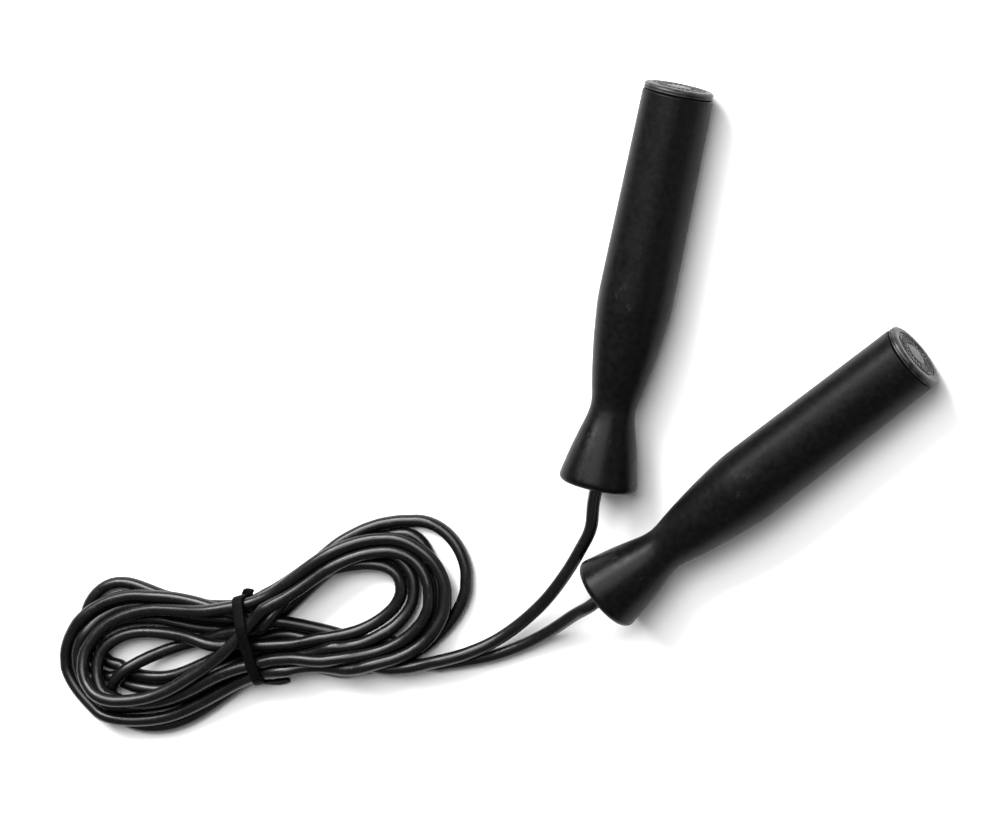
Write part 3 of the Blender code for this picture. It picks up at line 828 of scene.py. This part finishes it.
def mixed(material, factor, first, second):
    """Colour between two, by a factor; a colour is a triple or a socket."""
    tree = material.node_tree
    node = tree.nodes.new("ShaderNodeMix")
    node.data_type = "RGBA"
    tree.links.new(factor, node.inputs["Factor"])
    for name, colour in (("A", first), ("B", second)):
        socket = next(s for s in node.inputs if s.name == name and s.type == "RGBA")
        if isinstance(colour, tuple):
            socket.default_value = (*colour, 1.0)
        else:
            tree.links.new(colour, socket)
    return next(s for s in node.outputs if s.type == "RGBA")


def surface(material, colour=None, roughness=None):
    """Drive the shader's colour and roughness with sockets."""
    shader = material.node_tree.nodes["Principled BSDF"]
    if colour is not None:
        material.node_tree.links.new(colour, shader.inputs["Base Color"])
    if roughness is not None:
        material.node_tree.links.new(roughness, shader.inputs["Roughness"])


def bumps(material, *layers):
    """Bump from one or more (factor, depth in metres) layers."""
    tree = material.node_tree
    normal = None
    for factor, depth in layers:
        bump = tree.nodes.new("ShaderNodeBump")
        bump.inputs["Strength"].default_value = 1.0
        bump.inputs["Distance"].default_value = depth
        tree.links.new(factor, bump.inputs["Height"])
        if normal is not None:
            tree.links.new(normal, bump.inputs["Normal"])
        normal = bump.outputs["Normal"]
    shader = tree.nodes["Principled BSDF"]
    tree.links.new(normal, shader.inputs["Normal"])


def cord_vinyl():
    """Smooth extruded PVC: glossy, with faint waviness, handling haze and dust."""
    material = new_material("cord_vinyl", CORD_BLACK, roughness=0.28, specular=0.33)
    haze = noise(material, size=0.006)
    waves = noise(material, size=0.0035, detail=1.0)
    grain = noise(material, size=0.0004, detail=2.0)
    specks = noise(material, size=0.0011, detail=2.0)
    dust = spread(material, specks, low=0.0, high=1.0, start=0.66, stop=0.74)
    dust_tint = maths(material, "MULTIPLY", dust, 0.16)
    dust_dulling = maths(material, "MULTIPLY", dust, 0.18)
    gloss = spread(material, haze, low=0.24, high=0.35)
    surface(material,
            colour=mixed(material, dust_tint, CORD_BLACK, DUST),
            roughness=maths(material, "ADD", gloss, dust_dulling))
    bumps(material, (waves, 0.00006), (grain, 0.000006))
    return material


def grip_rubber():
    """Moulded rubber foam skin: satin, mottled where held, with faint light scuffs."""
    material = new_material("grip_rubber", RUBBER_BLACK, roughness=0.4, specular=0.085)
    cloud = noise(material, size=0.011, detail=4.0)
    mottle = noise(material, size=0.0022, detail=4.0)
    grain = noise(material, size=0.00032, detail=2.0)
    streak = noise(material, size=0.0022, detail=4.0, stretch=(1.0, 1.0, 0.55))
    worn_area = noise(material, size=0.024, detail=2.0)
    patch = spread(material, worn_area, low=0.0, high=1.0, start=0.54, stop=0.68)
    marks = spread(material, streak, low=0.0, high=1.0, start=0.60, stop=0.70)
    scuff = maths(material, "MULTIPLY", marks, patch)
    scuff_tint = maths(material, "MULTIPLY", scuff, 0.22)
    wear = spread(material, mottle, low=0.0, high=1.0)
    tone = mixed(material, wear, RUBBER_BLACK, RUBBER_WORN)
    start, stop = FLARE_POLISH
    polish = spread(material, along_handle(material), low=0.0, high=-0.07,
                    start=start, stop=stop)
    satin = spread(material, cloud, low=0.32, high=0.42)
    unevenness = spread(material, mottle, low=-0.03, high=0.05)
    surface(material,
            colour=mixed(material, scuff_tint, tone, SCUFF),
            roughness=maths(material, "ADD", satin,
                            maths(material, "ADD", polish, unevenness)))
    bumps(material, (mottle, 0.00008), (grain, 0.00003))
    return material


def cap_plastic():
    """Moulded cap: a little harder and shinier than the rubber, dusty in patches."""
    material = new_material("cap_plastic", CAP_BLACK, roughness=0.4, specular=0.35)
    mottle = noise(material, size=0.0016, detail=4.0)
    grain = noise(material, size=0.0003, detail=2.0)
    blotch = spread(material, noise(material, size=0.0045), low=0.0, high=1.0,
                    start=0.42, stop=0.62)
    dust_tint = maths(material, "MULTIPLY", blotch, 0.6)
    surface(material,
            colour=mixed(material, dust_tint, CAP_BLACK, CAP_DUSTY),
            roughness=spread(material, mottle, low=0.30, high=0.50))
    bumps(material, (mottle, 0.00010), (grain, 0.00003))
    return material


def strap_vinyl():
    """Matt strap: fine lengthwise ribbing across its width and a dull skin."""
    material = new_material("strap_vinyl", STRAP_BLACK, roughness=0.55, specular=0.04)
    ribs = noise(material, size=0.0006, detail=1.0, stretch=(1.0, 0.05, 0.05))
    skin = noise(material, size=0.0015)
    grain = noise(material, size=0.0004)
    wear = spread(material, skin, low=0.0, high=1.0)
    surface(material,
            colour=mixed(material, wear, STRAP_BLACK, STRAP_WORN),
            roughness=spread(material, skin, low=0.48, high=0.64))
    bumps(material, (ribs, 0.00008), (grain, 0.00003))
    return material


def hard_plastic(name, colour):
    """Inner moulded plastic: fine spark-eroded grain and faint flow marks."""
    material = new_material(name, colour, roughness=0.45)
    flow = noise(material, size=0.004, detail=2.0, stretch=(1.0, 1.0, 0.3))
    grain = noise(material, size=0.00025, detail=2.0)
    pale = tuple(FLOW_GAIN * c + FLOW_LIFT for c in colour)
    surface(material,
            colour=mixed(material, spread(material, flow, low=0.0, high=1.0), colour, pale),
            roughness=spread(material, flow, low=0.38, high=0.52))
    bumps(material, (grain, 0.00003))
    return material


def turned_metal(name, colour, roughness):
    """Turned metal: fine tool marks and dull patches."""
    material = new_material(name, colour, roughness, metallic=1.0)
    patch = noise(material, size=0.002)
    marks = noise(material, size=0.0002, detail=1.0)
    dull = tuple(METAL_DULLING * c for c in colour)
    surface(material,
            colour=mixed(material, spread(material, patch, low=0.0, high=1.0), colour, dull),
            roughness=spread(material, patch, low=roughness - 0.06, high=roughness + 0.12))
    bumps(material, (marks, 0.000008))
    return material


def paint_inner_parts():
    """Finishes of the CAD parts inside the handles that stay as they are."""
    steel = turned_metal("bearing_steel", STEEL, roughness=0.22)
    looks = {
        "ferrule": turned_metal("ferrule_brass", BRASS, roughness=0.30),
        "core": hard_plastic("core_plastic", CORE_PLASTIC),
        "bearing_retainer": hard_plastic("retainer_plastic", RETAINER_PLASTIC),
        "cage": hard_plastic("cage_nylon", CAGE_NYLON),
    }
    for name, node in frame["nodes"].items():
        finish = next((looks[start] for start in looks if name.startswith(start)), steel)
        for slot in node.material_slots:
            slot.link = "OBJECT"
            slot.material = finish


# ------------------------------------------------------------------ stage and light


def camera_axes():
    """The camera's right, up and back, as unit vectors."""
    matrix = bpy.context.scene.camera.matrix_world
    return [matrix.col[k].to_3d().normalized() for k in range(3)]


def add_panel(name, direction, distance, size, power):
    """A soft rectangular light that faces the rope."""
    data = bpy.data.lights.new(name, "AREA")
    data.shape = "RECTANGLE"
    data.size, data.size_y = size
    data.energy = power
    panel = bpy.data.objects.new(name, data)
    bpy.context.collection.objects.link(panel)
    towards = direction.normalized()
    panel.rotation_euler = towards.to_track_quat("Z", "Y").to_euler()
    panel.location = CAMERA_TARGET + towards * distance


def add_stage():
    """A plain white floor under an even, dim sky."""
    mesh = bpy.data.meshes.new("floor")
    half = FLOOR_HALF
    corners = [(-half, -half, 0), (half, -half, 0), (half, half, 0), (-half, half, 0)]
    mesh.from_pydata(corners, [], [(0, 1, 2, 3)])
    paper = new_material("floor_paper", (FLOOR_WHITE,) * 3, roughness=0.9, specular=0.1)
    mesh.materials.append(paper)
    floor = bpy.data.objects.new("floor", mesh)
    floor.location.z = -FLOOR_DROP
    bpy.context.collection.objects.link(floor)
    world = bpy.data.worlds.new("world")
    world.use_nodes = True
    sky = world.node_tree.nodes["Background"]
    sky.inputs["Color"].default_value = (1, 1, 1, 1)
    sky.inputs["Strength"].default_value = SKY_STRENGTH
    bpy.context.scene.world = world
    bpy.context.scene.view_settings.view_transform = "Standard"


def add_lights():
    """The soft panels, placed by the camera's own directions."""
    right, up, back = camera_axes()
    for name, (x, y, z), distance, size, power in PANELS:
        add_panel(name, right * x + up * y + back * z, distance, size, power)


add_camera()
path, cord_length = lay_cord()
tie = add_tie(path, strap_vinyl())
add_cord(path, cord_vinyl())
rubber, plastic = grip_rubber(), cap_plastic()
for tag in ("a", "b"):
    add_grip(tag, rubber)
    add_cap(tag, plastic)
paint_inner_parts()
add_stage()
add_lights()
